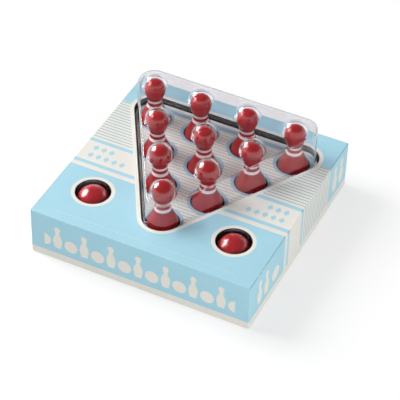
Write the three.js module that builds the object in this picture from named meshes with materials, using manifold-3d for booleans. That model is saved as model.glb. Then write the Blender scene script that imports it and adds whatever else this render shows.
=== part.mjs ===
// A boxed table-top bowling game: lift-off lid with a triangular window and two round holes, base tray,
// formed insert, pin guide card, clear covers, ten pins, two balls and a folded leaflet.
// Millimetres. Origin at the centre of the box's underside, +X right along the front, +Y back, +Z up.
import * as THREE from 'three';
import { mergeVertices } from 'three/addons/utils/BufferGeometryUtils.js';
import Module from 'manifold-3d';

const wasm = await Module();
wasm.setup();

// Box of rigid board, as wide as the window and its margins: the lid stops a little above the table and the
// tray stands on it
const box_height = 55.5;
const board = 2;
const lid_foot_gap = 0.8;
const lid_slip = 0.6;
const board_edge_r = 0.8;
const tray_rim_gap = 3.5;

// Window: a triangle of three equal sides whose corners are arcs. Every outline that follows the window is
// the same three arcs with another radius.
const window_side_margin = 15.75;
const window_back_margin = 23.65;
const window_past_belly = 3.6;

// Ten pins in rows of four, three, two and one, inside the window's core triangle
const pin_gap = 19.2;
const pins_inset = 4.25;
const pins_forward = 3.4;
const pin_rows = 4;
const pin_height = 95.5;
const belly_r = 16.9;
const head_r = 11.3;
const pin_sides = 16;
const head_steps = 6;
// Height up the pin and radius at that height, as shares of the pin's height and of its belly
const pin_profile_shares = [
  [0, 0.68], [0.225, 0.945], [0.334, 1], [0.44, 0.97], [0.49, 0.915], [0.54, 0.8], [0.59, 0.655],
  [0.64, 0.548], [0.69, 0.467], [0.735, 0.452],
];
// The head starts at this share of the height, and its lower half is this much longer than a ball's
const head_start_share = 0.77;
const head_low_share = 1.33;

// Two balls, each proud of the lid through its own hole, at shares of the box's side from its middle
const ball_r = 17.75;
const ball_place_shares = [0.3242, -0.2833];
const ball_centre_depth = 13.3;
const ball_hole_play = 0.55;
const round_sides = 20;
const ball_steps = 8;

// Formed insert: a deck with a sunk triangle for the guide card, wells for the pins, cups for the balls
const sheet = 1;
const deck_gap = 0.3;
const insert_slip = 0.3;
const recess_inset = 1.5;
const well_sides = 16;
const well_play = 1;
const well_taper_share = 0.78;
const well_mid_share = 0.55;
const well_mid_r_share = 0.97;
const cup_floor_gap = 0.05;
const cup_rim_share = 1.065;
const cup_foot_share = 0.5;
// Depth below the ball's centre and radius of the cup there, as shares of the ball's radius
const cup_wall_shares = [[0.69, 0.87], [0.1, 1.027]];

// Guide card with a hole round each pin
const card_top_depth = 6.3;
const card_thick = 1.2;
const card_slip = 0.7;
const card_hole_play = 0.4;

// Clear covers, each on a flange stuck under the lid. The pin cover's top climbs to the back, and so does
// the row of domes, but less: both heights are above the heads' centres on the window's centre line.
const clear_sheet = 0.7;
const flange_width = 9;
const cover_base_gap = 3.3;
const cover_draft = 0.8;
const cover_over_head = 2.5;
const cover_climb_share = 0.068;
const cover_edge_r = 1.5;
const edge_steps = 3;
const dome_gap = 1.9;
const dome_over_head = 3.2;
const dome_climb_share = 0.041;
const dome_root_depth = 1.5;
const dome_sides = 16;
const dome_steps = 4;
const ball_cover_gap = 1;
const ball_cover_rise = 1.3;
const ball_flange_width = 5.5;
const arc_steps = 6;

// Instruction leaflet, folded once, flat on the tray's floor under the insert
const leaf = 0.3;
const leaf_gap = 0.3;
const leaflet_end_gap = 15.4;
const leaflet_width = 140;
const leaflet_clear = 0.2;
const fold_steps = 6;

// Widths and places that follow from the pins
const window_r = belly_r + window_past_belly;
const card_hole_r = belly_r + card_hole_play;
const dome_r = head_r + dome_gap;
const ball_hole_r = ball_r + ball_hole_play;
const pin_pitch = 2 * belly_r + pin_gap;
const window_core_side = (pin_rows - 1) * pin_pitch + 2 * pins_inset;
const window_reach = window_core_side / Math.sqrt(3);
const box_side = window_core_side + 2 * (window_r + window_side_margin);
const window_centre_y = box_side / 2 - window_back_margin - window_r - window_reach / 2;
const pins_centre_y = window_centre_y - pins_forward;
const [ball_x, ball_y] = ball_place_shares.map((share) => share * box_side);

// Levels that follow from the sizes above
const lid_under = box_height - board;
const tray_height = lid_under - tray_rim_gap;
const flange_under = lid_under - clear_sheet;
const deck_top = flange_under - deck_gap;
const card_top = box_height - card_top_depth;
const recess_floor = card_top - card_thick;
const leaflet_top = board + 2 * leaf + leaf_gap;
const well_floor = leaflet_top + leaflet_clear + sheet;
const head_z = well_floor + pin_height - head_r;
const ball_z = box_height - ball_centre_depth;
const inner_side = box_side - 2 * board;
const tray_side = inner_side - 2 * lid_slip;
const tray_inner_side = tray_side - 2 * board;
const insert_side = tray_inner_side - 2 * insert_slip;
const leaflet_length = tray_inner_side - 2 * leaflet_end_gap;
const cut = box_side;

// Plumbing between three.js geometry and closed solids
function solid(positions, triangles) {
  let mesh = new THREE.BufferGeometry();
  mesh.setAttribute('position', new THREE.Float32BufferAttribute(positions, 3));
  mesh.setIndex(triangles);
  mesh = mergeVertices(mesh);
  return new wasm.Manifold(new wasm.Mesh({
    numProp: 3,
    vertProperties: new Float32Array(mesh.attributes.position.array),
    triVerts: new Uint32Array(mesh.index.array),
  }));
}

// Skin through a stack of outlines with equal point counts, each {z, points}, closed top and bottom.
// A layer with a climb rises by that share of the distance behind the window's centre line.
function loft(layers) {
  const count = layers[0].points.length;
  const positions = [];
  const triangles = [];
  for (const layer of layers) {
    for (const [x, y] of layer.points) {
      positions.push(x, y, layer.z + (layer.climb ?? 0) * (y - window_centre_y));
    }
  }
  for (let level = 0; level + 1 < layers.length; level += 1) {
    for (let i = 0; i < count; i += 1) {
      const a = level * count + i;
      const b = level * count + (i + 1) % count;
      triangles.push(a, b, b + count, a, b + count, a + count);
    }
  }
  const top = (layers.length - 1) * count;
  for (let i = 1; i + 1 < count; i += 1) {
    triangles.push(0, i + 1, i);
    triangles.push(top, top + i, top + i + 1);
  }
  return solid(positions, triangles);
}

// Convex outline whose corners are arcs of one radius about the given centres, counter-clockwise
function arcs(centres, radius, first_angle, steps) {
  const points = [];
  const turn = 2 * Math.PI / centres.length;
  centres.forEach((centre, corner) => {
    for (let i = 0; i <= steps; i += 1) {
      const angle = first_angle + corner * turn + turn * i / steps;
      points.push([centre[0] + radius * Math.cos(angle), centre[1] + radius * Math.sin(angle)]);
    }
  });
  return points;
}

function square(side, corner_r) {
  const half = side / 2 - corner_r;
  return arcs([[half, half], [-half, half], [-half, -half], [half, -half]], corner_r, 0, edge_steps);
}

// The window's outline with its arcs grown or shrunk to another radius
function triangle(radius) {
  const centres = [0, 1, 2].map((corner) => {
    const angle = Math.PI / 6 + corner * 2 * Math.PI / 3;
    return [window_reach * Math.cos(angle), window_centre_y + window_reach * Math.sin(angle)];
  });
  return arcs(centres, radius, -Math.PI / 6, arc_steps);
}

function prism(outline, low, high) {
  return loft([{ z: low, points: outline }, { z: high, points: outline }]);
}

// Body of revolution from [radius, height] pairs; the first and last lie on the axis
function turned(profile, sides, x, y) {
  const lathe = new THREE.LatheGeometry(profile.map((pair) => new THREE.Vector2(pair[0], pair[1])), sides);
  lathe.deleteAttribute('normal');
  lathe.deleteAttribute('uv');
  lathe.rotateX(Math.PI / 2);
  lathe.translate(x, y, 0);
  const clean = mergeVertices(lathe);
  const index = [];
  const source = clean.index.array;
  for (let i = 0; i < source.length; i += 3) {
    const [a, b, c] = [source[i], source[i + 1], source[i + 2]];
    if (a !== b && b !== c && c !== a) index.push(a, b, c);
  }
  return solid(Array.from(clean.attributes.position.array), index);
}

function cylinder(radius, low, high, sides, x, y) {
  return turned([[0, low], [radius, low], [radius, high], [0, high]], sides, x, y);
}

function sum(pieces) {
  return pieces.reduce((all, piece) => all.add(piece));
}

const root = new THREE.Group();
root.name = 'bowling_drinking_game';

function place(name, body, look) {
  const data = body.getMesh();
  const geometry = new THREE.BufferGeometry();
  geometry.setAttribute('position', new THREE.Float32BufferAttribute(data.vertProperties, 3));
  geometry.setIndex(Array.from(data.triVerts));
  geometry.computeVertexNormals();
  const mesh = new THREE.Mesh(geometry, look);
  mesh.name = name;
  root.add(mesh);
}

function finish(color, roughness, opacity = 1) {
  return new THREE.MeshStandardMaterial({
    color, roughness, metalness: 0, opacity, transparent: opacity < 1,
  });
}

const looks = {
  printed: finish(0xa9d8e8, 0.5),
  tray: finish(0xe9e5dc, 0.7),
  black: finish(0x1c1a1d, 0.4),
  card: finish(0xdcd8cf, 0.65),
  clear: finish(0xf2f6fa, 0.08, 0.25),
  red: finish(0xa81f22, 0.25),
  paper: finish(0xf4f1ea, 0.8),
};

// Places of the pins, numbered from the front pin back and left to right in each row
const pin_places = [];
const row_pitch = pin_pitch * Math.sqrt(3) / 2;
for (let row = 0; row < pin_rows; row += 1) {
  const y = pins_centre_y + row_pitch * (row - 2 * (pin_rows - 1) / 3);
  for (let i = 0; i <= row; i += 1) pin_places.push([(i - row / 2) * pin_pitch, y]);
}
const ball_places = [[-ball_x, ball_y], [ball_x, ball_y]];

// Base tray: floor and four walls
place('base_tray', prism(square(tray_side, board_edge_r), 0, tray_height)
  .subtract(prism(square(tray_inner_side, board_edge_r), board, tray_height + cut)), looks.tray);

// Folded leaflet: two leaves joined by a round fold along one long edge
const fold_r = leaf + leaf_gap / 2;
const fold_x = fold_r - leaflet_width / 2;
const fold_z = board + fold_r;
const fold = [];
for (const radius of [fold_r, leaf_gap / 2]) {
  const bend = [[leaflet_width / 2, fold_z - radius]];
  for (let i = 0; i <= fold_steps; i += 1) {
    const angle = -Math.PI / 2 - Math.PI * i / fold_steps;
    bend.push([fold_x + radius * Math.cos(angle), fold_z + radius * Math.sin(angle)]);
  }
  bend.push([leaflet_width / 2, fold_z + radius]);
  fold.push(radius === fold_r ? bend : bend.reverse());
}
const leaflet_shape = new THREE.Shape(fold.flat().map((pair) => new THREE.Vector2(pair[0], pair[1])));
const leaflet = new THREE.ExtrudeGeometry(leaflet_shape, { depth: leaflet_length, bevelEnabled: false });
leaflet.deleteAttribute('normal');
leaflet.deleteAttribute('uv');
leaflet.applyMatrix4(new THREE.Matrix4().makeBasis(
  new THREE.Vector3(0, 1, 0), new THREE.Vector3(0, 0, 1), new THREE.Vector3(1, 0, 0)));
leaflet.translate(-leaflet_length / 2, 0, 0);
const leaflet_flat = mergeVertices(leaflet);
place('instruction_leaflet',
  solid(Array.from(leaflet_flat.attributes.position.array), Array.from(leaflet_flat.index.array)),
  looks.paper);

// Insert: deck, skirt, sunk triangle, a tapered well under each pin and a cup under each ball.
// The same profile cuts the hollow and, one sheet thickness larger, makes the wall round it.
const well_top_r = belly_r + well_play;
function well(extra, x, y) {
  const floor = well_floor - extra;
  const depth = recess_floor - floor;
  const foot_r = well_top_r * well_taper_share;
  return turned([[0, floor], [foot_r + extra, floor],
    [well_top_r * well_mid_r_share + extra, floor + depth * well_mid_share],
    [well_top_r + extra, recess_floor], [well_top_r + extra, recess_floor + (extra ? 0 : sheet)],
    [0, recess_floor + (extra ? 0 : sheet)]], well_sides, x, y);
}
function cup(extra, x, y) {
  const floor = ball_z - ball_r - cup_floor_gap - extra;
  const wall = cup_wall_shares.map(([down, out]) => [out * ball_r + extra, ball_z - down * ball_r]);
  const rim_r = cup_rim_share * ball_r + extra;
  const high = extra ? deck_top : deck_top + sheet;
  return turned([[0, floor], [cup_foot_share * ball_r + extra, floor], ...wall, [rim_r, deck_top],
    [rim_r, high], [0, high]], well_sides, x, y);
}
const recess_r = window_r - recess_inset;
const insert = sum([
  prism(square(insert_side, board_edge_r), board, deck_top)
    .subtract(prism(square(insert_side - 2 * sheet, board_edge_r), board - sheet, deck_top - sheet)),
  prism(triangle(recess_r + sheet), recess_floor - sheet, deck_top),
  ...pin_places.map(([x, y]) => well(sheet, x, y)),
  ...ball_places.map(([x, y]) => cup(sheet, x, y)),
]);
const insert_hollow = sum([
  prism(triangle(recess_r), recess_floor, deck_top + sheet),
  ...pin_places.map(([x, y]) => well(0, x, y)),
  ...ball_places.map(([x, y]) => cup(0, x, y)),
]);
place('insert_tray', insert.subtract(insert_hollow), looks.black);

// Guide card: sets the ten pins out
place('pin_guide', prism(triangle(recess_r - card_slip), recess_floor, card_top).subtract(
  sum(pin_places.map(([x, y]) => cylinder(card_hole_r, recess_floor - sheet, card_top + sheet,
    round_sides, x, y)))), looks.card);

// Lid: five panels with eased edges, the triangular window and the two ball holes
const lid_layers = [{ z: lid_foot_gap, points: square(box_side, board_edge_r) }];
for (let i = 0; i <= edge_steps; i += 1) {
  const angle = Math.PI / 2 * i / edge_steps;
  const inset = board_edge_r * (1 - Math.cos(angle));
  lid_layers.push({
    z: box_height - board_edge_r * (1 - Math.sin(angle)),
    points: square(box_side - 2 * inset, Math.max(board_edge_r - inset, board_edge_r / 8)),
  });
}
place('lid', loft(lid_layers)
  .subtract(prism(square(inner_side, board_edge_r), lid_foot_gap - board, lid_under))
  .subtract(prism(triangle(window_r), lid_under - board, box_height + board))
  .subtract(sum(ball_places.map(([x, y]) => cylinder(ball_hole_r, lid_under - board, box_height + board,
    round_sides, x, y)))), looks.printed);

// Pin cover: drafted wall through the window, rounded top edge, a dome over each pin's head
function cover(thinner) {
  const base_r = window_r - cover_base_gap - thinner;
  const edge = cover_edge_r - thinner;
  const edge_z = head_z + cover_over_head - cover_edge_r;
  const layers = [{ z: flange_under - (thinner ? board : 0), points: triangle(base_r) },
    { z: flange_under, points: triangle(base_r) }];
  if (!thinner) layers.shift();
  for (let i = 0; i <= edge_steps; i += 1) {
    const angle = Math.PI / 2 * i / edge_steps;
    layers.push({
      z: edge_z + edge * Math.sin(angle),
      climb: cover_climb_share,
      points: triangle(base_r - cover_draft - edge * (1 - Math.cos(angle))),
    });
  }
  const radius = dome_r - thinner;
  const domes = pin_places.map(([x, y]) => {
    const behind = y - window_centre_y;
    const root = head_z + cover_over_head + cover_climb_share * behind - dome_root_depth;
    const centre = head_z + dome_over_head + dome_climb_share * behind;
    const profile = [[0, root], [radius, root]];
    for (let i = 0; i < dome_steps; i += 1) {
      const angle = Math.PI / 2 * i / dome_steps;
      profile.push([radius * Math.cos(angle), centre + radius * Math.sin(angle)]);
    }
    profile.push([0, centre + radius]);
    return turned(profile, dome_sides, x, y);
  });
  return sum([loft(layers), ...domes]);
}
place('pin_cover', cover(0).add(prism(triangle(window_r + flange_width), flange_under, lid_under))
  .subtract(cover(clear_sheet)), looks.clear);

// Ball covers: a shallow clear dome through each round hole
function ball_cover(x, y, thinner) {
  const radius = ball_hole_r - ball_cover_gap - thinner;
  const crown = ball_z + ball_r + ball_cover_rise + clear_sheet - thinner;
  const rise = crown - box_height;
  const cap_r = (radius * radius + rise * rise) / (2 * rise);
  const sweep = Math.asin(radius / cap_r);
  const low = flange_under - (thinner ? board : 0);
  const profile = [[0, low], [radius, low]];
  for (let i = 0; i < dome_steps; i += 1) {
    const angle = sweep * (1 - i / dome_steps);
    profile.push([cap_r * Math.sin(angle), crown - cap_r * (1 - Math.cos(angle))]);
  }
  profile.push([0, crown]);
  return turned(profile, round_sides, x, y);
}
const sides = ['left', 'right'];
ball_places.forEach(([x, y], i) => {
  const flange = cylinder(ball_hole_r + ball_flange_width, flange_under, lid_under, round_sides, x, y);
  place(`ball_cover_${sides[i]}`, ball_cover(x, y, 0).add(flange)
    .subtract(ball_cover(x, y, clear_sheet)), looks.clear);
});

// Pins: one turned profile, body from the shares table and head as part of a ball
const pin_profile = [[0, well_floor], ...pin_profile_shares.map(([up, out]) => [
  out * belly_r, well_floor + up * pin_height])];
const head_low_r = head_r * head_low_share;
const head_from = Math.asin((well_floor + head_start_share * pin_height - head_z) / head_low_r);
for (let i = 0; i < head_steps; i += 1) {
  const angle = head_from + (Math.PI / 2 - head_from) * i / head_steps;
  const rise = Math.sin(angle) * (angle < 0 ? head_low_r : head_r);
  pin_profile.push([head_r * Math.cos(angle), head_z + rise]);
}
pin_profile.push([0, head_z + head_r]);
pin_places.forEach(([x, y], i) => {
  place(`pin_${String(i + 1).padStart(2, '0')}`, turned(pin_profile, pin_sides, x, y), looks.red);
});

// Balls
ball_places.forEach(([x, y], i) => {
  const profile = [];
  for (let k = 0; k <= ball_steps; k += 1) {
    const angle = Math.PI * k / ball_steps - Math.PI / 2;
    const on_axis = k === 0 || k === ball_steps;
    profile.push([on_axis ? 0 : ball_r * Math.cos(angle), ball_z + ball_r * Math.sin(angle)]);
  }
  place(`ball_${sides[i]}`, turned(profile, round_sides, x, y), looks.red);
});

export default root;
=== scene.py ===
# A boxed table-top bowling game: printed board box, ten red pins under a clear cover and two red balls.
# Metres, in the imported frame: +Z up, the front towards -Y, the origin under the middle of the box.
import math

import bmesh
import bpy
import numpy as np
from mathutils import Matrix, Vector
from mathutils.geometry import tessellate_polygon


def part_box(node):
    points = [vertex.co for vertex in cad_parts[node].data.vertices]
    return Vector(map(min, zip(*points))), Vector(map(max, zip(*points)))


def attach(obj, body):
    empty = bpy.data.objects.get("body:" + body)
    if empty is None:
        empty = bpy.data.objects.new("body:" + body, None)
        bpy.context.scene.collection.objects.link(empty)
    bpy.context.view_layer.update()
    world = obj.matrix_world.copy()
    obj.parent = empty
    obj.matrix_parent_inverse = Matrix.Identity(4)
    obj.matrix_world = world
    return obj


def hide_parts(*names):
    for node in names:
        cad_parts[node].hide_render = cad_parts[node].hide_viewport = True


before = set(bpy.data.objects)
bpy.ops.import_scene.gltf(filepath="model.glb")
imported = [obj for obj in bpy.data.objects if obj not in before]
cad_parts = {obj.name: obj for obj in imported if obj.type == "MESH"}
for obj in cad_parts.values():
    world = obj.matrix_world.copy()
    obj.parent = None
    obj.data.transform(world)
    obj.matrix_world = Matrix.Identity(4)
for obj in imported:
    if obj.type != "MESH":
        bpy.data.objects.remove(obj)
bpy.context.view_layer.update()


# Base tray: a tray of 2 mm board wrapped in the same blue paper as the lid, with white paper glued
# inside. The lid slides down over it, so only its foot shows, as a thin dark line under the lid.
mm = 0.001


class Signal:
    """A shader value. An operator or method on it adds the Math node that works out the result."""

    def __init__(self, web, socket):
        self.web = web
        self.socket = socket

    def math(self, operation, *others, clamp=False):
        """The Math node's operation on this value and the others."""
        settings = {"operation": operation, "use_clamp": clamp}
        return self.web.node("ShaderNodeMath", settings, dict(enumerate((self, *others))))

    def __add__(self, other):
        return self.math("ADD", other)

    def __sub__(self, other):
        return self.math("SUBTRACT", other)

    def __rsub__(self, other):
        return self * -1 + other

    def __mul__(self, other):
        return self.math("MULTIPLY", other)

    def __truediv__(self, other):
        return self.math("DIVIDE", other)

    def __abs__(self):
        return self.math("ABSOLUTE")

    __radd__ = __add__
    __rmul__ = __mul__

    def least(self, other):
        """The smaller of the two."""
        return self.math("MINIMUM", other)

    def most(self, other):
        """The larger of the two."""
        return self.math("MAXIMUM", other)

    def hypot(self, other):
        """Length of the two as sides of a right angle."""
        return (self * self + other * other).math("SQRT")

    def span(self, low, high):
        """The value low where this is 0 and high where it is 1."""
        return self * (high - low) + low

    def over(self, edge, soft=0.3):
        """0 under the edge and 1 over it, through a step as wide as soft."""
        return ((self - edge) / soft).math("ADD", 0.5, clamp=True)

    def under(self, edge, soft=0.3):
        """1 under the edge and 0 over it."""
        return 1 - self.over(edge, soft)

    def between(self, low, high, soft=0.3):
        """1 from low to high and 0 outside them."""
        return self.over(low, soft) * self.under(high, soft)

    def other(self, output):
        """Another output of the same node."""
        return Signal(self.web, self.socket.node.outputs[output])


class Web:
    """The node tree of a material or of the world."""

    def __init__(self, tree):
        self.tree = tree

    def node(self, kind, settings=None, inputs=None, output=0):
        """A node of that type: its settings are set first, then its sockets get values or links."""
        made = self.tree.nodes.new(kind)
        for key, value in (settings or {}).items():
            if key == "stops":
                ramp = made.color_ramp.elements
                while len(ramp) < len(value):
                    ramp.new(1)
                for element, (place, shade) in zip(ramp, value):
                    element.position = place
                    element.color = (shade, shade, shade, 1)
            else:
                setattr(made, key, value)
        for key, value in (inputs or {}).items():
            if isinstance(value, Signal):
                self.tree.links.new(value.socket, made.inputs[key])
            else:
                made.inputs[key].default_value = value
        return Signal(self, made.outputs[output])

    def point(self):
        """Object coordinates in millimetres, as a vector."""
        sockets = {"Vector": self.node("ShaderNodeTexCoord", output="Object"), "Scale": 1 / mm}
        return self.node("ShaderNodeVectorMath", {"operation": "SCALE"}, sockets)

    def axes(self, vector):
        """The x, y and z of a vector."""
        x = self.node("ShaderNodeSeparateXYZ", inputs={"Vector": vector})
        return x, x.other("Y"), x.other("Z")

    def noise(self, place, size, detail=2):
        """Cloudy value from 0 to 1 whose blots are about as wide as size, in the units of place."""
        sockets = {"Vector": place, "Scale": 1 / size, "Detail": detail}
        return self.node("ShaderNodeTexNoise", inputs=sockets)

    def mix(self, mask, low, high):
        """Colour low where the mask is 0 and colour high where it is 1, through the Mix node's colour
        sockets: 0 for the mask, 6 and 7 for the two colours and output 2."""
        return self.node("ShaderNodeMix", {"data_type": "RGBA"}, {0: mask, 6: low, 7: high}, output=2)


class Finish(Web):
    """One node material round a Principled shader, whose even sockets are set by name."""

    def __init__(self, name, **constants):
        self.material = bpy.data.materials.new(name)
        self.material.use_nodes = True
        super().__init__(self.material.node_tree)
        self.shader = self.tree.nodes["Principled BSDF"]
        for socket, value in constants.items():
            self.shader.inputs[socket.replace("_", " ")].default_value = value

    def feed(self, **signals):
        """Link signals to the shader's sockets of those names."""
        for socket, signal in signals.items():
            self.tree.links.new(signal.socket, self.shader.inputs[socket.replace("_", " ")])

    def grain(self, height, depth, strength=1.0):
        """Bump of that depth in metres from a height between 0 and 1."""
        sockets = {"Height": height, "Distance": depth, "Strength": strength}
        self.feed(Normal=self.node("ShaderNodeBump", inputs=sockets))


def paint(code):
    """Linear colour of a six-digit display colour."""
    shown = np.array([int(code[i:i + 2], 16) for i in (0, 2, 4)]) / 255
    return (*np.where(shown > 0.04045, ((shown + 0.055) / 1.055) ** 2.4, shown / 12.92), 1.0)


def around(corners, radius, first, steps):
    """Outline of arcs of one radius about the corners, counter-clockwise: each arc turns by a full turn
    over the number of corners, the first starting at the angle first, and straight lines join them."""
    turn = 2 * math.pi / len(corners)
    corner = np.repeat(np.arange(len(corners)), steps + 1)
    angle = first + corner * turn + np.tile(np.linspace(0, turn, steps + 1), len(corners))
    return np.asarray(corners)[corner] + radius * np.stack([np.cos(angle), np.sin(angle)], 1)


def square(side, corner_r):
    """Outline of a square about the origin, each corner an arc whose centre is its radius in from both
    sides."""
    half = side / 2 - corner_r
    return around([(half, half), (-half, half), (-half, -half), (half, -half)], corner_r, 0, 5)


def bend(start, end, centre, steps=5):
    """Reach and height along a quarter of an ellipse from start to end, about a centre level with one of
    them: the start's distance fades as a cosine while the end's grows as a sine."""
    angle = np.linspace(0, math.pi / 2, steps + 1)[:, None]
    start, end, centre = (np.array(place, float) for place in (start, end, centre))
    return centre + (start - centre) * np.cos(angle) + (end - centre) * np.sin(angle)


def to_level(reach, height, width, rise):
    """Bend that starts upright at the reach, a rise over the height, and ends level at the height, with
    the reach less by the width. A negative rise starts it under the height."""
    return bend((reach, height + rise), (reach - width, height), (reach - width, height + rise))


def skin(outlines, heights):
    """Quads between outlines of equal point counts at their heights. A path that climbs the outside,
    crosses the top inwards and goes down a hole faces outwards all along."""
    rows = [np.column_stack([outline, np.broadcast_to(height, len(outline))])
            for outline, height in zip(outlines, heights)]
    count = len(rows[0])
    step = np.arange(count)
    low = np.arange(len(rows) - 1)[:, None] * count + step
    beside = low - step + (step + 1) % count
    return np.concatenate(rows), np.stack([low, beside, beside + count, low + count], -1).reshape(-1, 4)


def swept(path, outline, *shape):
    """Skin along a path of reaches and heights, with the outline of each reach at its height."""
    return skin([outline(reach, *shape) for reach, height in path], path[:, 1])


def plate(outer, holes, height, up=True):
    """Flat face inside an outline, with holes in it, cut into triangles that face up or down."""
    loops = [np.column_stack([loop, np.zeros(len(loop))]) for loop in (outer, *holes)]
    flat = np.concatenate(loops)
    triangles = np.array(tessellate_polygon([list(map(Vector, loop)) for loop in loops]))
    a, b, c = (flat[triangles[:, i]] for i in range(3))
    upward = np.cross(b - a, c - a)[:, 2] > 0
    triangles[upward != up] = triangles[upward != up][:, ::-1]
    flat[:, 2] = height(flat[:, 0], flat[:, 1]) if callable(height) else height
    return flat, triangles


def piece(name, surfaces, finish, body, nodes, wall=0.0):
    """An object from surfaces of points and faces: seams are merged, and edges over 40 degrees stay hard.
    A wall, in metres, gives a skin its thickness on the side that it faces away from."""
    starts = np.cumsum([0] + [len(points) for points, faces in surfaces])
    places = np.concatenate([points for points, faces in surfaces])
    corners = [corner for start, (points, faces) in zip(starts, surfaces)
               for corner in (faces + start).tolist()]
    mesh = bpy.data.meshes.new(name)
    mesh.from_pydata(places, [], corners)
    merged = bmesh.new()
    merged.from_mesh(mesh)
    bmesh.ops.remove_doubles(merged, verts=merged.verts, dist=1e-6)
    bmesh.ops.dissolve_degenerate(merged, edges=merged.edges, dist=1e-7)
    merged.to_mesh(mesh)
    merged.free()
    mesh.polygons.foreach_set("use_smooth", np.ones(len(mesh.polygons), bool))
    mesh.set_sharp_from_angle(angle=math.radians(40))
    mesh.materials.append(finish.material)
    made = bpy.data.objects.new(name, mesh)
    bpy.context.scene.collection.objects.link(made)
    if wall:
        thick = made.modifiers.new("wall", "SOLIDIFY")
        thick.thickness = wall
        thick.offset = -1
        thick.use_even_offset = True
    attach(made, body)
    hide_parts(*nodes)


paper_blue = paint("a8d5e4")
paper_blue_deep = paint("a0cfdf")
paper_cream = paint("e8e6df")
paper_cream_deep = paint("e1dfd6")
tray_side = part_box("base_tray")[1].x * 2
tray_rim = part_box("base_tray")[1].z
tray_board = 2 * mm
tray_edge_r = 0.7 * mm
tray_inside = tray_side - 2 * tray_board
turned_in = 0.5 * mm

tray_wrap = Finish("tray_wrap")
point = tray_wrap.point()
x, y = tray_wrap.axes(point)[:2]
outside = abs(x).most(abs(y)).over((tray_inside / 2 + turned_in) / mm)
fibre = tray_wrap.noise(point, size=0.5, detail=3)
cloud = tray_wrap.noise(point, size=9)
tray_cream = tray_wrap.mix(cloud, paper_cream, paper_cream_deep)
tray_blue = tray_wrap.mix(cloud, paper_blue, paper_blue_deep)
tray_wrap.feed(Base_Color=tray_wrap.mix(outside, tray_cream, tray_blue), Roughness=fibre.span(0.48, 0.60))
tray_wrap.grain(fibre, depth=0.03 * mm)

tray_path = np.array([(tray_side, 0), *to_level(tray_side, tray_rim, 2 * tray_edge_r, -tray_edge_r),
                      (tray_inside, tray_rim), (tray_inside, tray_board)])
piece("tray_board", [
    swept(tray_path, square, tray_edge_r),
    plate(square(tray_inside, tray_edge_r), [], tray_board),
    plate(square(tray_side, tray_edge_r), [], 0, up=False),
], tray_wrap, "case", ["base_tray"])


# Instruction leaflet: thin white paper with a single fold, lying under the insert. The solid already has
# its fold, so it keeps its shape here and only gets its paper, with faint painted shade along the fold.
leaf_white = paint("f4f2ea")
leaf_white_deep = paint("efece2")
leaf_fold_shade = paint("d9d6cb")
fold_y = -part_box("instruction_leaflet")[1].y
fold_width = 1.5 * mm
leaf_fold_shade_share = 0.6

leaf_paper = Finish("leaf_paper")
point = leaf_paper.point()
y = leaf_paper.axes(point)[1]
fibre = leaf_paper.noise(point, size=0.6, detail=4)
# Painted shade: the paper darkens a little on one side of the fold.
leaf_fold_shaded = y.under((fold_y + fold_width) / mm, soft=3) * leaf_fold_shade_share
leaf_plain = leaf_paper.mix(fibre, leaf_white, leaf_white_deep)
leaf_shade = leaf_paper.mix(leaf_fold_shaded, leaf_plain, leaf_fold_shade)
leaf_paper.feed(Base_Color=leaf_shade, Roughness=fibre.span(0.60, 0.75))
leaf_paper.grain(fibre, depth=0.02 * mm)
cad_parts["instruction_leaflet"].data.materials.clear()
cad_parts["instruction_leaflet"].data.materials.append(leaf_paper.material)


# Insert: one black sheet drawn over a mould. Its deck sinks to a shelf for the guide card, the shelf into
# ten tapered wells and the deck into two cups. Every edge is rounded, because the sheet stretches round
# the mould.
window_core_side = 167.5 * mm
window_centre_y = 27.5 * mm
window_r = 20.5 * mm
arc_steps = 20


def triangle(radius):
    """Outline at that radius about the window's three corners, at equal turns round its middle."""
    angle = math.pi / 6 + np.arange(3) * 2 * math.pi / 3
    reach = window_core_side / math.sqrt(3)
    corners = np.stack([reach * np.cos(angle), window_centre_y + reach * np.sin(angle)], 1)
    return around(corners, radius, -math.pi / 6, arc_steps)


def circle(radius, place, sides=64):
    """Outline at that radius about a place: the arc of a single corner is a full turn."""
    return around([place], radius, 0, sides)[:-1]


def holes(places, radius):
    """Circles about the places, turned clockwise, as a plate's holes are."""
    return [circle(radius, place)[::-1] for place in places]


def to_upright(reach, height, width, rise, steps=5):
    """Bend that starts level at the height, with the reach more by the width, and ends upright at the
    reach, a rise over the height. A negative rise ends it under the height."""
    return bend((reach + width, height), (reach, height + rise), (reach + width, height + rise), steps)


# Pins stand in rows of one to four, at the corners of equal triangles; the third row is on pins_centre_y.
pin_pitch = 53 * mm
pins_centre_y = 24.1 * mm
row_of_pin = np.repeat(np.arange(4), np.arange(1, 5))
place_in_row = np.concatenate([np.arange(row + 1) for row in range(4)])
pin_places = np.stack([(place_in_row - row_of_pin / 2) * pin_pitch,
                       pins_centre_y + (row_of_pin - 2) * pin_pitch * math.sqrt(3) / 2], 1)
ball_low, ball_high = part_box("ball_right")
ball_r = (ball_high.x - ball_low.x) / 2
ball_middle = (ball_low + ball_high) / 2
ball_places = np.array([(-ball_middle.x, ball_middle.y), (ball_middle.x, ball_middle.y)])

insert_sheet = 1 * mm
insert_low, insert_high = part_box("insert_tray")
insert_side = insert_high.x * 2
deck_top = insert_high.z
deck_edge_r = 1.2 * mm
shelf_r = window_r - 1.5 * mm
shelf_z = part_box("pin_guide")[0].z
shelf_rim_r = 0.8 * mm
shelf_foot_r = 0.5 * mm
flat_strip = 0.15 * mm
well_r = 17.9 * mm
well_rim_r = 0.45 * mm
well_mid_share = 0.97
well_foot_share = 0.78
well_foot_width = 2 * mm
well_foot_rise = 1.5 * mm
well_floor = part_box("pin_01")[0].z
cup_rim_r = 1.065 * ball_r
cup_floor_gap = 0.05 * mm
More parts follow.
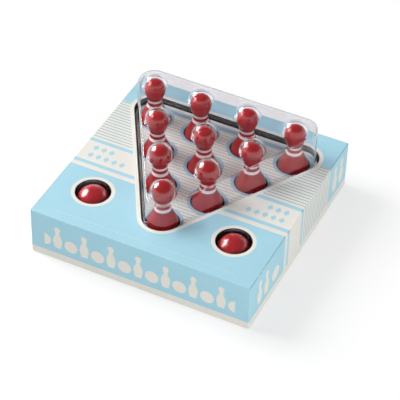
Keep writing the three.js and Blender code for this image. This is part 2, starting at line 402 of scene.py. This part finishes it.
# Reach and height of the cup under its rim, as shares of the ball's radius, down from the ball's middle.
cup_shares = np.array([(1.05, -0.15), (1.027, 0.1), (0.97, 0.4), (0.87, 0.69), (0.68, 0.88), (0.5, 0.99)])
sheet_black = paint("0d0c10")
sheet_black_scuffed = paint("18151a")

insert_plastic = Finish("insert_plastic", Specular_IOR_Level=0.15)
point = insert_plastic.point()
drawn = insert_plastic.noise(point, size=2.5, detail=3)
scuff = insert_plastic.noise(point, size=0.8, detail=5)
insert_plastic.feed(Base_Color=insert_plastic.mix(scuff, sheet_black, sheet_black_scuffed),
                    Roughness=drawn.span(0.50, 0.66))
insert_plastic.grain(drawn, depth=0.06 * mm)

deck_path = np.array([(insert_side, insert_low.z),
                      *to_level(insert_side, deck_top, 2 * deck_edge_r, -deck_edge_r),
                      (insert_side - 2 * (deck_edge_r + flat_strip), deck_top)])
shelf_path = np.array([(shelf_r + shelf_rim_r + flat_strip, deck_top),
                       *to_upright(shelf_r, deck_top, shelf_rim_r, -shelf_rim_r),
                       *to_level(shelf_r, shelf_z, shelf_foot_r, shelf_foot_r),
                       (shelf_r - shelf_foot_r - flat_strip, shelf_z)])
well_path = np.array([(well_r + well_rim_r + flat_strip, shelf_z),
                      *to_upright(well_r, shelf_z, well_rim_r, -well_rim_r),
                      (well_r * well_mid_share, (shelf_z + well_floor) / 2),
                      *to_level(well_r * well_foot_share + well_foot_width / 2, well_floor,
                                well_foot_width, well_foot_rise),
                      (0, well_floor)])
cup_path = np.array([(cup_rim_r + shelf_rim_r + flat_strip, deck_top),
                     *to_upright(cup_rim_r, deck_top, shelf_rim_r, -shelf_rim_r),
                     *(cup_shares * (ball_r, -ball_r) + (0, ball_middle.z)),
                     (0, ball_middle.z - ball_r - cup_floor_gap)])
piece("formed_insert", [
    swept(deck_path, square, deck_edge_r),
    plate(square(deck_path[-1, 0], deck_edge_r),
          [triangle(shelf_path[0, 0])[::-1], *holes(ball_places, cup_path[0, 0])], deck_top),
    swept(shelf_path, triangle),
    plate(triangle(shelf_path[-1, 0]), holes(pin_places, well_path[0, 0]), shelf_z),
    *(swept(well_path, circle, place) for place in pin_places),
    *(swept(cup_path, circle, place) for place in ball_places),
], insert_plastic, "insert", ["insert_tray"], wall=insert_sheet)


# Guide card: grey board with a pale printed face, punched with a ringed hole for each pin. It lies on the
# insert's shelf. The punched edges show the bare board.
card_r = shelf_r - 0.7 * mm
card_low, card_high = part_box("pin_guide")
card_edge_r = 0.15 * mm
card_hole_r = 17.3 * mm
ring_width = 3.4 * mm
card_line_pitch = 4.3 * mm
card_line_width = 0.75 * mm
card_band_low = 83.3 * mm
card_band_high = 89.1 * mm
core_round_hole = 0.03 * mm
core_under_face = 0.2 * mm
card_pale = paint("e4e5da")
card_pale_deep = paint("dadbd0")
card_line = paint("9aa2a4")
card_ring = paint("9dbfd0")
card_band = paint("86a3b4")
card_core = paint("b9b2a6")

card_print = Finish("card_print")
point = card_print.point()
x, y, z = card_print.axes(point)
nearest = None
for place in pin_places / mm:
    away = (x - place[0]).hypot(y - place[1])
    nearest = away if nearest is None else nearest.least(away)
in_ring = nearest.under((card_hole_r + ring_width) / mm)
in_line = y.math("PINGPONG", card_line_pitch / mm / 2).under(card_line_width / mm / 2, soft=0.2)
in_band = y.between(card_band_low / mm, card_band_high / mm)
in_core = nearest.under((card_hole_r + core_round_hole) / mm, soft=0.05)
in_core = in_core.most(z.under((card_high.z - core_under_face) / mm, soft=0.1))
fibre = card_print.noise(point, size=0.7, detail=4)
cloud = card_print.noise(point, size=14)
ground = card_print.mix(cloud, card_pale, card_pale_deep)
ruled = card_print.mix(in_line, ground, card_line)
banded = card_print.mix(in_band, ruled, card_band)
ringed = card_print.mix(in_ring, banded, card_ring)
card_print.feed(Base_Color=card_print.mix(in_core, ringed, card_core), Roughness=fibre.span(0.50, 0.65))
card_print.grain(fibre, depth=0.03 * mm)

card_path = np.array([(card_r, card_low.z), (card_r, card_high.z - card_edge_r),
                      (card_r - card_edge_r, card_high.z)])
hole_path = np.array([(card_hole_r + card_edge_r, card_high.z), (card_hole_r, card_high.z - card_edge_r),
                      (card_hole_r, card_low.z)])
piece("punched_card", [
    swept(card_path, triangle),
    plate(triangle(card_path[-1, 0]), holes(pin_places, hole_path[0, 0]), card_high.z),
    plate(triangle(card_r), holes(pin_places, card_hole_r), card_low.z, up=False),
    *(swept(hole_path, circle, place) for place in pin_places),
], card_print, "guide", ["pin_guide"])


# Pins: turned wood in a deep red gloss lacquer, with two white bands painted round the neck while the pin
# spins. Each stands in its well through its hole in the card.
pin_low, pin_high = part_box("pin_01")
pin_height = pin_high.z - pin_low.z
belly_r = pin_high.x
head_r = 11.3 * mm
head_rows = 16
pin_sides = 56
# Height up the pin, as a share of its height, and radius there, as a share of its belly's.
pin_shares = np.array([
    (0, 0.60), (0.012, 0.67), (0.12, 0.83), (0.225, 0.95), (0.334, 1), (0.42, 0.982), (0.47, 0.94),
    (0.533, 0.816), (0.585, 0.665), (0.638, 0.55), (0.69, 0.467), (0.722, 0.449), (0.753, 0.476),
    (0.775, 0.515), (0.816, 0.6), (0.847, 0.65), (0.882, 0.6686)])
band_shares = [(0.656, 0.688), (0.727, 0.759)]


def flow(stations, steps):
    """Smooth line through stations: between two of them it is the cubic whose slope at each is that of
    the chord between its neighbours."""
    stations = np.asarray(stations, float)
    slope = np.gradient(stations, axis=0)
    slope[0] = stations[1] - stations[0]
    slope[-1] = stations[-1] - stations[-2]
    t = np.linspace(0, 1, steps, endpoint=False)[None, :, None]
    a, b, m, n = (stations[:-1, None], stations[1:, None], slope[:-1, None], slope[1:, None])
    curve = (a * (2 * t**3 - 3 * t**2 + 1) + m * (t**3 - 2 * t**2 + t)
             + b * (3 * t**2 - 2 * t**3) + n * (t**3 - t**2))
    return np.concatenate([curve.reshape(-1, 2), stations[-1:]])


pin_curve = flow(pin_shares, steps=5)
head_centre = pin_high.z - head_r
crown = np.linspace(0, math.pi / 2, head_rows)[1:]
pin_path = np.concatenate([
    [(0, pin_low.z)],
    np.column_stack([np.minimum(pin_curve[:, 1], 1) * belly_r, pin_low.z + pin_curve[:, 0] * pin_height]),
    np.column_stack([head_r * np.cos(crown), head_centre + head_r * np.sin(crown)])])

lacquer_red = paint("aa1c20")
lacquer_red_deep = paint("98161b")
band_white = paint("e6dedb")
band_wobble = 0.35
rings_per_mm = 2.2


def lacquer(name, bands=(), coat=0.65, coat_roughness=0.08, coat_bending=1.5):
    """Red gloss lacquer over wood: faint turning rings under a clear coat, and white bands, each between
    two heights in mm."""
    finish = Finish(name, Coat_Weight=coat, Coat_Roughness=coat_roughness, Coat_IOR=coat_bending,
                    Specular_IOR_Level=0.05)
    point = finish.point()
    z = finish.axes(point)[2]
    cloud = finish.noise(point, size=7, detail=3)
    rings = finish.node("ShaderNodeTexNoise", {"noise_dimensions": "1D"},
                        {"W": z, "Scale": rings_per_mm, "Detail": 3})
    shade = finish.mix(cloud, lacquer_red, lacquer_red_deep)
    if bands:
        brushed = z + (finish.noise(point, size=2.5) - 0.5) * band_wobble
        painted = 0
        for low, high in bands:
            painted = brushed.between(low, high, soft=0.25) + painted
        shade = finish.mix(painted, shade, band_white)
    finish.feed(Base_Color=shade, Roughness=cloud.span(0.2, 0.3))
    finish.grain(rings, depth=0.04 * mm, strength=0.5)
    return finish


band_heights = [[(pin_low.z + share * pin_height) / mm for share in shares] for shares in band_shares]
pin_lacquer = lacquer("pin_lacquer", band_heights)
for number, place in enumerate(pin_places, 1):
    name = f"pin_{number:02d}"
    turning = swept(pin_path, circle, place, pin_sides)
    piece(f"turned_{name}", [turning], pin_lacquer, name, [name])


# Balls: turned wood in the same lacquer, each in its cup. Their coat is thicker, and its gloss wide and
# strong, as it is seen together with that of the small clear cover over it.
ball_rows = 49
ball_lacquer = lacquer("ball_lacquer", coat=1.0, coat_roughness=0.18, coat_bending=1.9)
sweep = np.linspace(-math.pi / 2, math.pi / 2, ball_rows)
ball_path = np.column_stack([ball_r * np.cos(sweep), ball_middle.z + ball_r * np.sin(sweep)])
for side, place in zip(("left", "right"), ball_places):
    name = f"ball_{side}"
    turning = swept(ball_path, circle, place)
    piece(f"turned_{name}", [turning], ball_lacquer, name, [name])


# Lid: five panels of 2 mm board wrapped in one printed paper, with a punched triangular window and two
# punched holes. The paper turns in at the foot and is glued down inside, and the punched edges are
# painted black as shade.
lid_low, lid_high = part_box("lid")
lid_side = lid_high.x * 2
lid_top = lid_high.z
lid_board = 2 * mm
lid_under = lid_top - lid_board
lid_inside = lid_side - 2 * lid_board
lid_edge_r = 0.8 * mm
punch_r = 0.25 * mm
ball_hole_r = 18.3 * mm

lid_print = Finish("lid_print", Specular_IOR_Level=0.4)
point = lid_print.point()
x, y, z = lid_print.axes(point)
side_mm = lid_side / 2 / mm
top_mm = lid_top / mm
window_mm = window_r / mm
hole_mm = ball_hole_r / mm
face_depth = 0.4
on_top = z.over(top_mm - face_depth, soft=0.1)
on_front = y.under(face_depth - side_mm, soft=0.1) * (1 - on_top)
on_sides = abs(x).over(side_mm - face_depth, soft=0.1) * (1 - on_top)


def from_side(start, end):
    """Distance in mm from the side between two corners: the foot of the upright lies on the side, or at
    its nearer end."""
    along = end - start
    share = ((x - start[0]) * along[0] + (y - start[1]) * along[1]) / (along @ along)
    share = share.math("ADD", 0.0, clamp=True)
    return (x - start[0] - share * along[0]).hypot(y - start[1] - share * along[1])


core = triangle(0.0)[::arc_steps + 1] / mm
to_window = from_side(core[0], core[1]).least(from_side(core[1], core[2]))
to_window = to_window.least(from_side(core[2], core[0]))
to_hole = (abs(x) - ball_middle.x / mm).hypot(y - ball_middle.y / mm)

# Blocks, rules and stripes of the print, in mm from the lid's middle. The window, the holes and the foot
# keep a bare outline.
front_block_end = -39
back_block_start = 73.3
rules = [(-33.3, -28.7), (1, 5.5)]
stripe_first = 9.6
stripe_last = 71.5
stripe_pitch = 4.15
stripe_width = 1.0
window_outline = 4.3
hole_outline = 4.0
foot_band = 9
inked = y.under(front_block_end).most(y.over(back_block_start))
for low, high in rules:
    inked = inked.most(y.between(low, high))
in_stripe = ((y - stripe_first).math("PINGPONG", stripe_pitch / 2).under(stripe_width / 2)
             * y.between(stripe_first - stripe_width, stripe_last + stripe_width))
printable = (z.over(foot_band) * to_window.over(window_mm + window_outline)
             * to_hole.over(hole_mm + hole_outline))

# Height up a printed pin and half its width there, both as shares of its height.
printed_pin = [(0, 0.11), (0.12, 0.15), (0.32, 0.19), (0.5, 0.155), (0.62, 0.09), (0.7, 0.07),
               (0.78, 0.095), (0.88, 0.125), (0.95, 0.1), (1, 0.03)]


def pin_shape(across, up, height):
    """Mask of a plain pin: half its width is read from a ramp over its height."""
    share = up / height
    half = lid_print.node("ShaderNodeValToRGB", {"stops": printed_pin}, {0: share})
    return (abs(across) - half * height).under(0) * share.between(0, 1, soft=0.01)


def ball_shape(across, up, radius):
    """Mask of a disc of that radius that stands on the line where up is 0."""
    return across.hypot(up - radius).under(radius)


def in_turn(across, pitch):
    """Signed distance from the middle of the nearest of a row of equal places."""
    return (across / pitch + 0.5).math("FRACT") * pitch - pitch / 2


# Frieze along the front: pins and balls in turn.
frieze_pitch = 30
frieze_half = 105
frieze_low = 16
frieze_pin_height = 28
frieze_ball_r = 7.5
frieze_up = z - frieze_low
frieze = pin_shape(in_turn(x, frieze_pitch), frieze_up, frieze_pin_height)
frieze = frieze.most(ball_shape(in_turn(x + frieze_pitch / 2, frieze_pitch), frieze_up, frieze_ball_r))
frieze = frieze * abs(x).under(frieze_half) * on_front

# The right and left sides have two pins and a ball on the front block, and two pins on the back block:
# each pin's y and height are given.
side_low = 15
side_pins = [(-96, 30), (-80, 30), (88, 32), (104, 32)]
side_ball_y = -59
side_ball_r = 8.5
side_row = ball_shape(y - side_ball_y, z - side_low, side_ball_r)
for pin_y, height in side_pins:
    side_row = side_row.most(pin_shape(y - pin_y, z - side_low, height))

# A line of dots runs along the front and back edges of the top.
dot_pitch = 4
dot_r = 0.65
dot_half = 98
front_dots, back_dots = (in_turn(x, dot_pitch).hypot(y - dot_y).under(dot_r) * abs(x).under(dot_half)
                         for dot_y in (-109, 112))
dots = front_dots.most(back_dots) * on_top

# The pale strips carry two short rows of lozenges on each side of the window, each row at its y and from
# its own start out to lozenge_end.
lozenge_rows = [(-7.5, 84), (-19.5, 66)]
lozenge_end = 111.4
lozenge_middle = 107
lozenge_pitch = 9
lozenge_half_width = 3.2
lozenge_half_height = 4.2


def lozenges(across, up):
    """Row of lozenges: the shares of their half width and half height add to less than one."""
    width_share = abs(in_turn(across, lozenge_pitch)) / lozenge_half_width
    return (width_share + abs(up) / lozenge_half_height).under(1, soft=0.06)


front_row, back_row = (lozenges(abs(x) - lozenge_middle, y - row_y) * abs(x).between(start, lozenge_end)
                       for row_y, start in lozenge_rows)
badges = front_row.most(back_row) * on_top
knocked_out = frieze.most(dots).most(side_row * on_sides)
inked = (inked * printable * (1 - knocked_out)).most(badges)

# Wear whitens the folds in spots, and painted shade darkens the blue along the top's right and left
# folds.
# The punched edges are painted black as shade, and the inside is lined with cream paper.
stripe_ink = paint("86b0b9")
fold_shade_ink = paint("5d93a5")
worn_paper = paint("f0ede4")
punched_edge_shade = paint("151216")
lining_cream = paint("dedad0")
wear_width = 0.9
wear_share = 0.35
wear_roughness = 0.15
fold_shade_depth = 1
fold_shade_share = 0.45
cut_margin = 0.1
lining_margin = 0.2
inner = (abs(x).most(abs(y)).under(lid_inside / 2 / mm + lining_margin, soft=0.1)
         * z.under(lid_under / mm + cut_margin, soft=0.1))
punched = to_window.under(window_mm + cut_margin, soft=0.1)
punched = punched.most(to_hole.under(hole_mm + cut_margin, soft=0.1))
fibre = lid_print.noise(point, size=0.45, detail=4)
cloud = lid_print.noise(point, size=16, detail=3)
to_fold = (side_mm - abs(x)).least(side_mm - abs(y)).most(top_mm - z)
spots = lid_print.noise(point, size=3.5, detail=5).over(0.62, soft=0.12)
worn = to_fold.under(wear_width, soft=0.6) * spots
# Painted shade along the top's right and left folds.
lid_fold_shaded = inked * z.over(top_mm - fold_shade_depth, soft=0.4) * abs(x).over(side_mm - fold_shade_depth, soft=0.4)
blue = lid_print.mix(cloud, paper_blue, paper_blue_deep)
cream = lid_print.mix(cloud, paper_cream, paper_cream_deep)
shade = lid_print.mix(inked, lid_print.mix(in_stripe * printable, cream, stripe_ink), blue)
shade = lid_print.mix(lid_fold_shaded * fold_shade_share, shade, fold_shade_ink)
shade = lid_print.mix(worn * wear_share, shade, worn_paper)
# Painted shade: the punched edges are black, as the cut board stands in shadow there.
edge_shade_and_lining = lid_print.mix(inner, punched_edge_shade, lining_cream)
lid_print.feed(Base_Color=lid_print.mix(inner.most(punched), shade, edge_shade_and_lining),
               Roughness=fibre.span(0.36, 0.50) + worn * wear_roughness)
lid_print.grain(fibre, depth=0.03 * mm)

lid_path = np.array([(lid_inside, lid_under), (lid_inside, lid_low.z + punch_r),
                     (lid_inside + 2 * punch_r, lid_low.z), (lid_side - 2 * punch_r, lid_low.z),
                     (lid_side, lid_low.z + punch_r),
                     *to_level(lid_side, lid_top, 2 * lid_edge_r, -lid_edge_r),
                     (lid_side - 2 * (lid_edge_r + flat_strip), lid_top)])


def punched_path(radius):
    """Radius and height down a punched edge: a small round at the printed face, then straight through."""
    return np.array([(radius + punch_r + flat_strip, lid_top),
                     *to_upright(radius, lid_top, punch_r, -punch_r, steps=3),
                     (radius, lid_under)])


window_path = punched_path(window_r)
ball_hole_path = punched_path(ball_hole_r)
piece("printed_lid", [
    swept(lid_path, square, lid_edge_r),
    plate(square(lid_path[-1, 0], lid_edge_r),
          [triangle(window_path[0, 0])[::-1], *holes(ball_places, ball_hole_path[0, 0])], lid_top),
    plate(square(lid_inside, lid_edge_r),
          [triangle(window_r)[::-1], *holes(ball_places, ball_hole_r)], lid_under, up=False),
    swept(window_path, triangle),
    *(swept(ball_hole_path, circle, place) for place in ball_places),
], lid_print, "lid", ["lid"])


# Clear covers: thin clear sheet drawn over a mould, each with a flange glued under the lid. The pin
# cover's top climbs to the back and has a dome over each pin's head; the ball covers are shallow caps.
clear_sheet = 0.7 * mm
flange_gap = 0.05 * mm
flange_r = window_r + 9 * mm
flange_z = lid_under - flange_gap
cover_base_r = window_r - 3.3 * mm
cover_top_r = cover_base_r - 0.8 * mm
cover_edge_r = 1.5 * mm
cover_root_r = 0.8 * mm
cover_rise = 35.3 * mm
cover_climb = 0.068
dome_r = 13.2 * mm
dome_root_r = 1.1 * mm
dome_centre_rise = 36 * mm
dome_climb = 0.041
dome_rows = 17
sheet_tint = (0.93, 0.925, 0.945, 1)
shadow_tint = (0.84, 0.83, 0.86, 1)


def clear(name, bending):
    """Clear sheet that lets lamps shine through it. The less it bends the light, the less it mirrors."""
    finish = Finish(name, Transmission_Weight=1.0, IOR=bending, Roughness=0.03, Base_Color=sheet_tint)
    finish.grain(finish.noise(finish.point(), size=9, detail=1), depth=0.05 * mm, strength=0.4)
    light_passes = finish.node("ShaderNodeBsdfTransparent", inputs={"Color": shadow_tint})
    shadow_ray = finish.node("ShaderNodeLightPath", output="Is Shadow Ray")
    seen = Signal(finish, finish.shader.outputs[0])
    both = finish.node("ShaderNodeMixShader", inputs={0: shadow_ray, 1: seen, 2: light_passes})
    finish.tree.links.new(both.socket, finish.tree.nodes["Material Output"].inputs["Surface"])
    return finish


clear_plastic = clear("clear_plastic", bending=1.46)
clear_cap = clear("clear_cap", bending=1.05)


def cover_top(x, y):
    """Height of the cover's flat top: level from side to side, climbing by its share of the way back."""
    return lid_top + cover_rise + cover_climb * (y - window_centre_y)


def sloped(outline, fall=0.0):
    """Heights of an outline's points that lie by the fall under the cover's flat top."""
    return cover_top(outline[:, 0], outline[:, 1]) - fall


cover_foot = np.array([(flange_r, flange_z),
                       *to_upright(cover_base_r, flange_z, cover_root_r, cover_root_r)])
cover_edge = np.array([*to_level(cover_top_r, 0, cover_edge_r, cover_edge_r),
                       (cover_top_r - cover_edge_r - flat_strip, 0)])
foot_rows = [triangle(radius) for radius, height in cover_foot]
edge_rows = [triangle(radius) for radius, fall in cover_edge]
edge_heights = [sloped(row, fall) for row, (radius, fall) in zip(edge_rows, cover_edge)]


def dome_foot(place):
    """Where a dome's ball shape starts: its centre's height, the angle above its widest line, the radius
    there, and that of its root on the flat top. The angle is such that the bend at the root stays under
    it all round, on the climbing top."""
    centre = lid_top + dome_centre_rise + dome_climb * (place[1] - window_centre_y)
    root_top = cover_top(place[0], place[1] + dome_r) + dome_root_r
    angle = math.asin(max(root_top - centre, 0) / dome_r)
    radius = dome_r * math.cos(angle)
    return centre, angle, radius, radius + dome_root_r + flat_strip


def dome(place):
    """Skin over one head: a small bend out of the sloped top, a short upright stretch and a part of a
    ball."""
    centre, start, radius, root_r = dome_foot(place)
    root = to_upright(radius, 0, dome_root_r, dome_root_r)
    angle = np.linspace(start, math.pi / 2, dome_rows)
    rows = [circle(root_r, place), *(circle(out, place) for out, rise in root),
            *(circle(out, place) for out in dome_r * np.cos(angle))]
    return skin(rows, [sloped(rows[0]), *(sloped(row, -rise) for row, (out, rise) in zip(rows[1:], root)),
                       *(centre + dome_r * np.sin(angle))])


piece("clear_pin_cover", [
    skin(foot_rows + edge_rows, [*cover_foot[:, 1], *edge_heights]),
    plate(triangle(cover_edge[-1, 0]),
          [circle(dome_foot(place)[3], place)[::-1] for place in pin_places], cover_top),
    *(dome(place) for place in pin_places),
], clear_plastic, "lid", ["pin_cover"], wall=clear_sheet)

cap_r = ball_hole_r - 1 * mm
cap_flange_r = ball_hole_r + 5.5 * mm
cap_rows = 15
for side, place in zip(("left", "right"), ball_places):
    node = f"ball_cover_{side}"
    crown_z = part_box(node)[1].z
    rise = crown_z - lid_top
    # A cap that is cap_r wide and rises so far is cut from a ball of this radius.
    cap_ball_r = (cap_r**2 + rise**2) / (2 * rise)
    angle = np.linspace(math.asin(cap_r / cap_ball_r), 0, cap_rows)
    crown = np.column_stack([cap_ball_r * np.sin(angle), crown_z - cap_ball_r * (1 - np.cos(angle))])
    cap_path = np.array([(cap_flange_r, flange_z),
                         *to_upright(cap_r, flange_z, cover_root_r, cover_root_r), *crown])
    piece(f"clear_{node}", [swept(cap_path, circle, place)], clear_cap, "lid", [node],
          wall=clear_sheet)


# Studio: a white table in soft light like that of a large window to the left, with its glow from above
# and behind, a fill lamp from the right, and a long lens from the front, a little to the right of it.
floor_half = 12.0
floor_lit = (0.45, 0.45, 0.45, 1)
floor_shown = (0.54, 0.54, 0.54, 1)
floor_grid = bpy.data.meshes.new("floor")
floor_grid.from_pydata([(-floor_half, -floor_half, 0), (floor_half, -floor_half, 0),
                        (floor_half, floor_half, 0), (-floor_half, floor_half, 0)], [], [(0, 1, 2, 3)])
floor = bpy.data.objects.new("floor", floor_grid)
bpy.context.scene.collection.objects.link(floor)
floor_white = Finish("floor_white", Base_Color=floor_lit, Roughness=0.9, Specular_IOR_Level=0.1,
                     Emission_Strength=1.0)
rays = floor_white.node("ShaderNodeLightPath", output="Is Camera Ray")
shown = rays.most(rays.other("Is Glossy Ray")).most(rays.other("Is Transmission Ray"))
floor_white.feed(Emission_Color=floor_white.mix(shown, (0, 0, 0, 1), floor_shown))
floor_grid.materials.append(floor_white.material)

# The room: pale walls up to a third of the way to the zenith and a dark ceiling. The camera sees it as
# plain white, also through clear sheet, as long as the ray has met nothing else before. Gloss sees its
# walls.
wall_top = 0.4
wall_light = 0.89
ceiling_light = 0.14
world = bpy.data.worlds.new("studio")
bpy.context.scene.world = world
world.use_nodes = True
room = Web(world.node_tree)
up = room.axes(room.node("ShaderNodeTexCoord", output="Generated"))[2]
wall = up.under(wall_top)
rays = room.node("ShaderNodeLightPath", output="Is Camera Ray")
unbounced = (rays.other("Diffuse Depth") + rays.other("Glossy Depth")).under(0.5)
shown = rays.most(rays.other("Is Transmission Ray") * unbounced).most(rays.other("Is Glossy Ray") * wall)
backdrop = room.tree.nodes["Background"]
backdrop.inputs["Color"].default_value = (1, 1, 1, 1)
room.tree.links.new(wall.span(ceiling_light, wall_light).most(shown).socket, backdrop.inputs["Strength"])


def softbox(name, place, width, height, power, aim=0.05, mirrored=True, lighting=True):
    """Rectangular lamp at a place, facing the point at the height aim over the middle of the table. It
    can be left out of what gloss mirrors or of the light."""
    light = bpy.data.lights.new(name, "AREA")
    light.shape = "RECTANGLE"
    light.size = width
    light.size_y = height
    light.energy = power
    lamp = bpy.data.objects.new(name, light)
    lamp.location = place
    lamp.rotation_euler = (Vector((0, 0, aim)) - Vector(place)).to_track_quat("-Z", "Y").to_euler()
    lamp.visible_glossy = mirrored
    lamp.visible_transmission = mirrored
    lamp.visible_diffuse = lighting
    bpy.context.scene.collection.objects.link(lamp)


softbox("window_light", place=(-1.38, 0.0, 1.3), width=1.0, height=0.95, power=26, mirrored=False)
softbox("window_glow", place=(-0.9, 0.5, 1.6), width=2.2, height=1.6, power=11, mirrored=False)
softbox("window_shine", place=(-1.55, 0.05, 1.08), width=1.2, height=0.95, power=49, lighting=False)
softbox("fill", place=(1.65, -1.2, 0.75), width=1.4, height=1.0, power=28, aim=0.03, mirrored=False)

view_azimuth = math.radians(25.0299)
view_elevation = math.radians(42.1275)
view_roll = math.radians(1.7089)
view_distance = 1.87609
view_target = Vector((8.444, 0.001, 25.8)) * mm
back = Vector((math.sin(view_azimuth) * math.cos(view_elevation),
               -math.cos(view_azimuth) * math.cos(view_elevation), math.sin(view_elevation)))
view_turn = back.to_track_quat("Z", "Y").to_matrix().to_4x4() @ Matrix.Rotation(view_roll, 4, "Z")
camera = bpy.data.objects.new("camera", bpy.data.cameras.new("camera"))
camera.data.sensor_width = 36
camera.data.lens = 165.711
camera.data.clip_end = 50
camera.matrix_world = Matrix.Translation(view_target + back * view_distance) @ view_turn
bpy.context.scene.collection.objects.link(camera)
bpy.context.scene.camera = camera
bpy.context.scene.view_settings.view_transform = "Standard"
